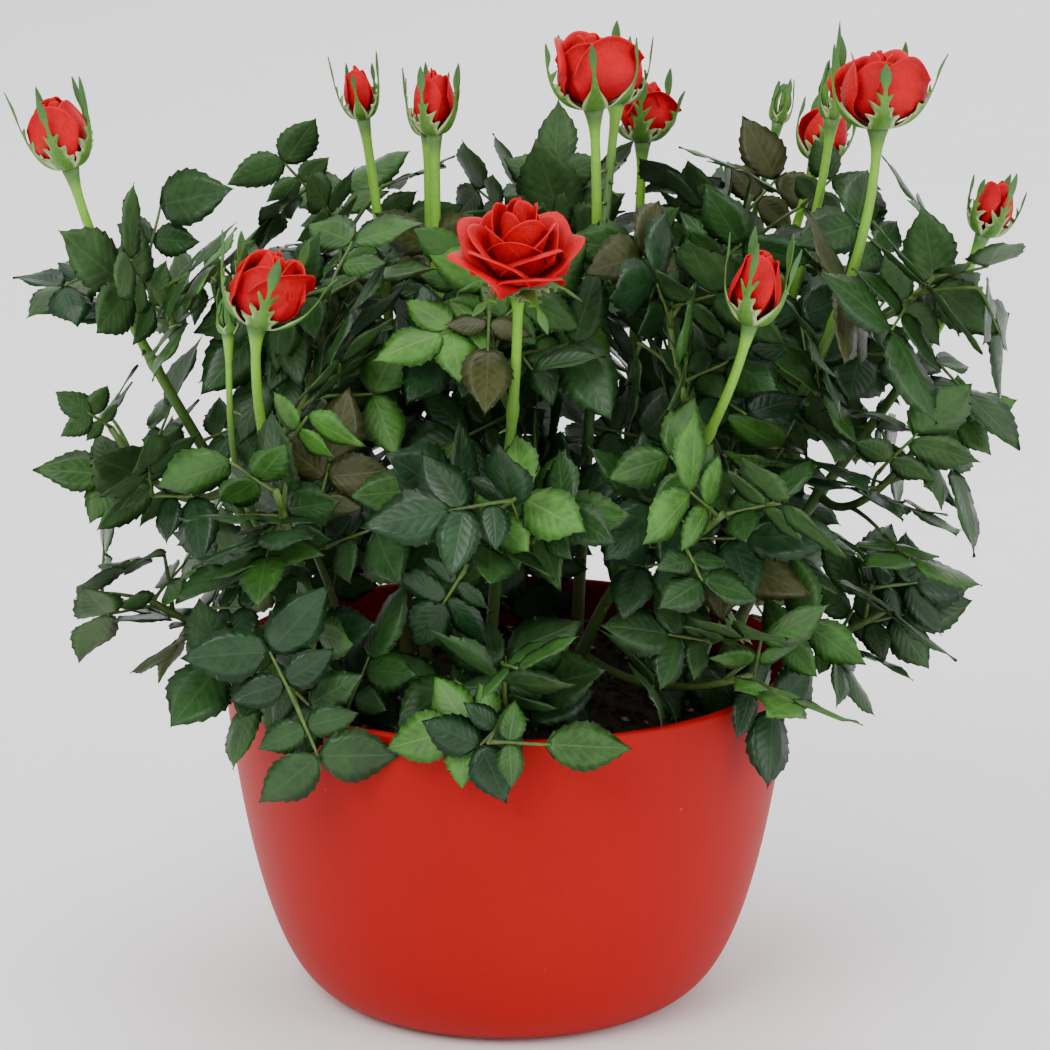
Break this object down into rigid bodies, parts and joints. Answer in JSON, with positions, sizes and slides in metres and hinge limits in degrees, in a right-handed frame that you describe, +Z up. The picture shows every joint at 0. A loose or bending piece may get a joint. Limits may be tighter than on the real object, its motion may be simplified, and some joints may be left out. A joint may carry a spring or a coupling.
{
  "type": "rose bush",
  "caption": "Miniature rose bush with upright canes, furled and open blooms and toothed compound leaves, in a plain round plastic bowl filled with potting mix.",
  "frame": {"origin": "centre of the bowl's flat underside", "axes": "+Z up out of the bowl, -Y towards the plant's front, where the open bloom stands, +X to the right as seen from the front"},
  "size_m": [0.2908, 0.218, 0.2847],
  "materials": {
    "bowl": "satin red",
    "potting_mix": "rough dark brown",
    "cane": "smooth green",
    "petal": "soft red",
    "leaf": "satin dark green"
  },
  "bodies": {
    "root": {"bowl": "bowl", "potting_mix": "potting_mix", "cane_back_centre": "cane", "cane_back_left": "cane", "cane_back_right": "cane", "cane_back_right_green_bud": "cane", "cane_far_left": "cane", "cane_far_right": "cane", "cane_front_left": "cane", "cane_front_left_bud": "cane", "cane_front_open": "cane", "cane_front_right": "cane", "cane_left_centre": "cane", "cane_left_centre_back": "cane", "cane_left_green_bud": "cane", "cane_right_green_bud": "cane", "cane_tall_centre": "cane", "cane_tall_centre_back": "cane", "cane_tall_right": "cane", "bloom_back_centre": "petal", "bloom_back_left": "petal", "bloom_back_right": "petal", "bloom_far_left": "petal", "bloom_far_right": "petal", "bloom_front_left": "petal", "bloom_front_open": "petal", "bloom_front_right": "petal", "bloom_left_centre": "petal", "bloom_left_centre_back": "petal", "bloom_tall_centre": "petal", "bloom_tall_centre_back": "petal", "bloom_tall_right": "petal", "foliage_back": "leaf", "foliage_back_left": "leaf", "foliage_back_right": "leaf", "foliage_centre": "leaf", "foliage_front": "leaf", "foliage_front_left": "leaf", "foliage_front_right": "leaf", "foliage_left": "leaf", "foliage_low_back": "leaf", "foliage_low_back_left": "leaf", "foliage_low_back_right": "leaf", "foliage_low_front": "leaf", "foliage_low_front_left": "leaf", "foliage_low_front_right": "leaf", "foliage_low_left": "leaf", "foliage_low_right": "leaf", "foliage_right": "leaf", "foliage_top_back": "leaf", "foliage_top_back_left": "leaf", "foliage_top_back_right": "leaf", "foliage_top_front": "leaf", "foliage_top_front_left": "leaf", "foliage_top_front_right": "leaf", "foliage_top_left": "leaf", "foliage_top_right": "leaf"}
  },
  "joints": []
}
